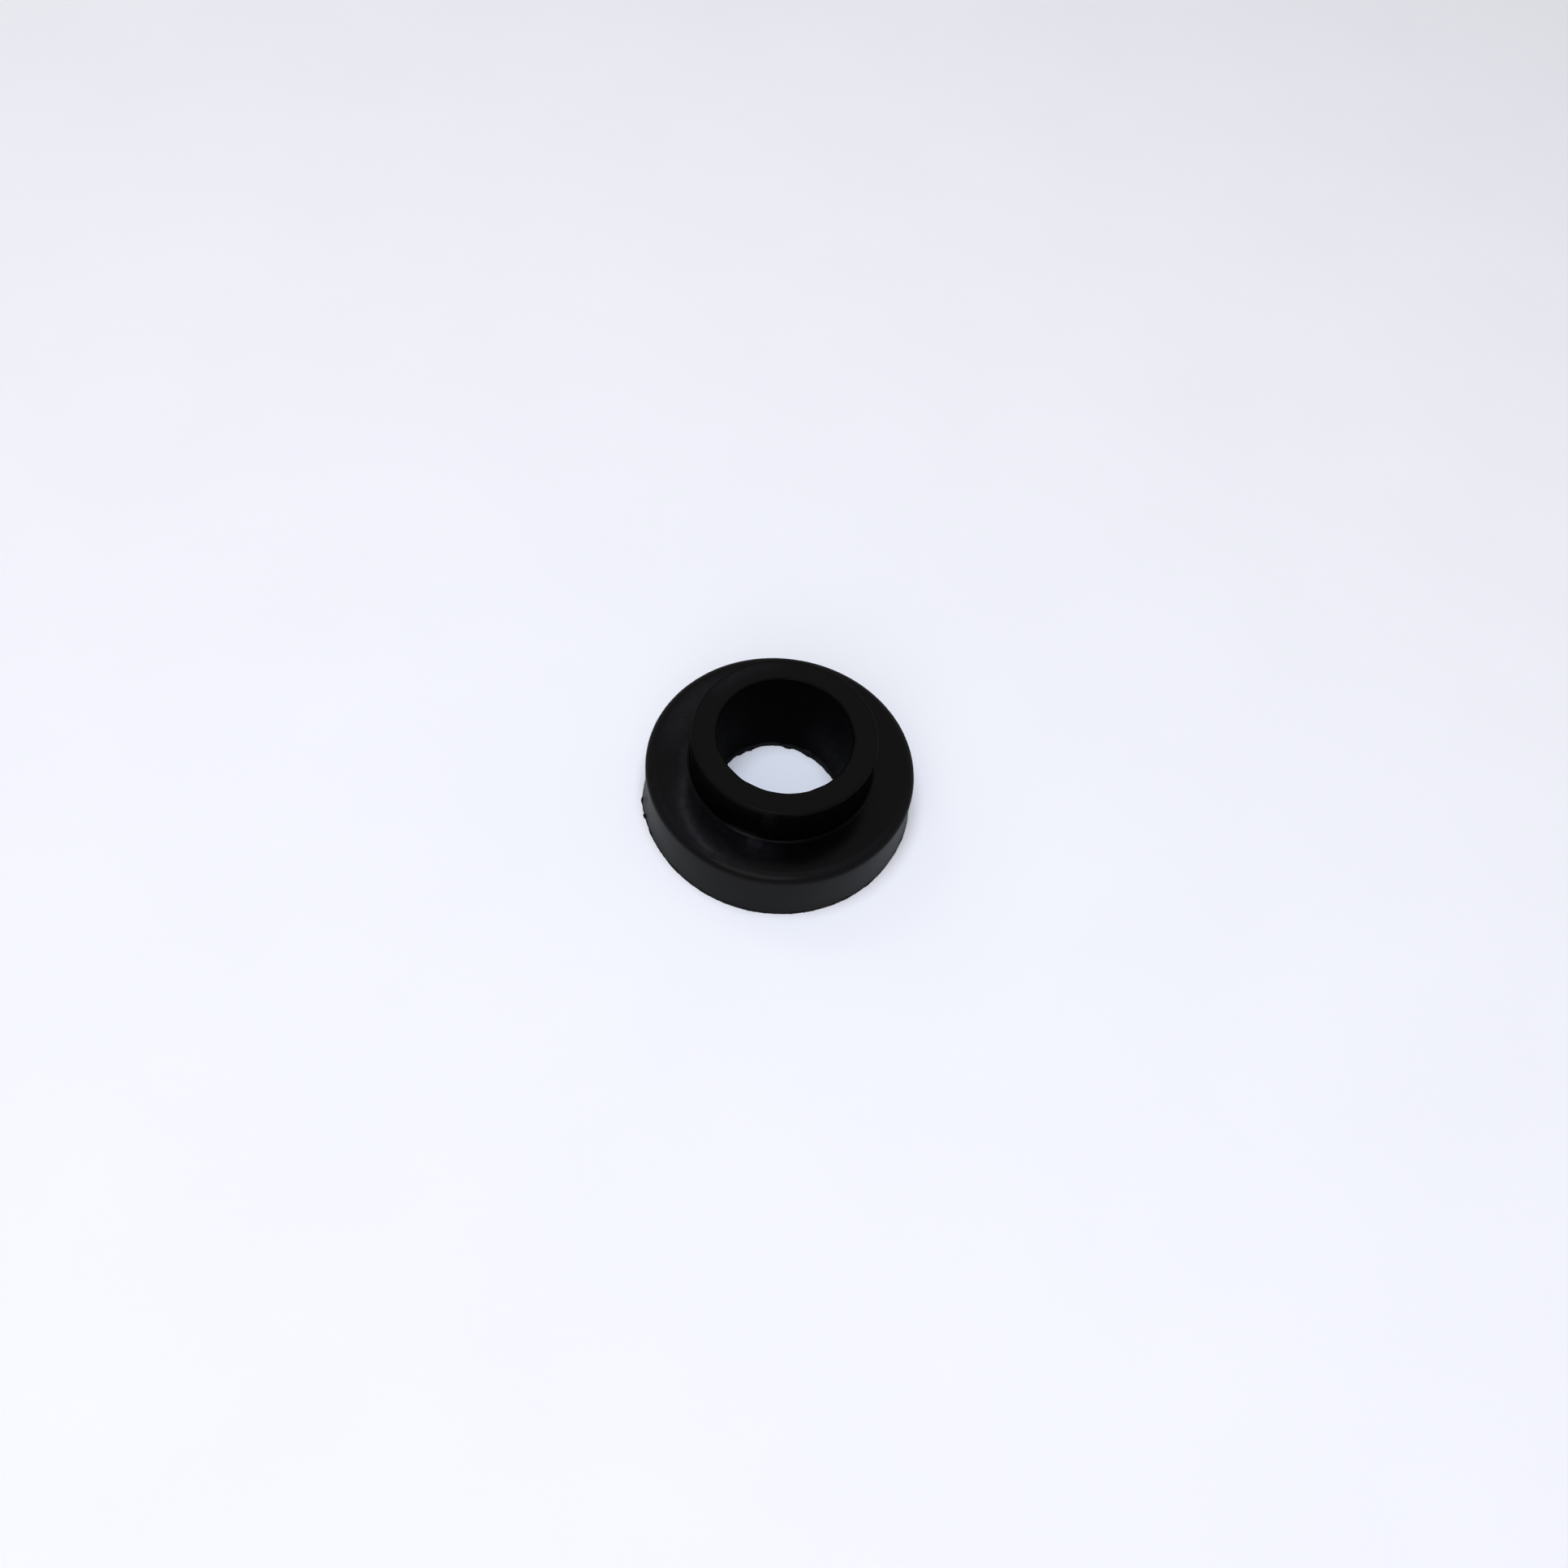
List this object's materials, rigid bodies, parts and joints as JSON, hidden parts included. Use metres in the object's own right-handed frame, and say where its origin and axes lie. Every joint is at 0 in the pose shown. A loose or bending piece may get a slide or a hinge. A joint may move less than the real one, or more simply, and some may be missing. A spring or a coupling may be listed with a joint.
{
  "type": "flanged rubber bushing",
  "caption": "Round rubber bushing with a thick flange, a raised cylindrical hub and one straight through bore, moulded in one piece.",
  "frame": {"origin": "centre of the flange's flat face, the face the part stands on", "axes": "+Z along the bore, out of the flange and through the hub; +X and +Y lie in the flange's flat face, and every direction in it is alike"},
  "size_m": [0.038, 0.038, 0.0165],
  "materials": {
    "rubber": "moulded, semi-matt black"
  },
  "bodies": {
    "root": {"bushing": "rubber"}
  },
  "joints": []
}
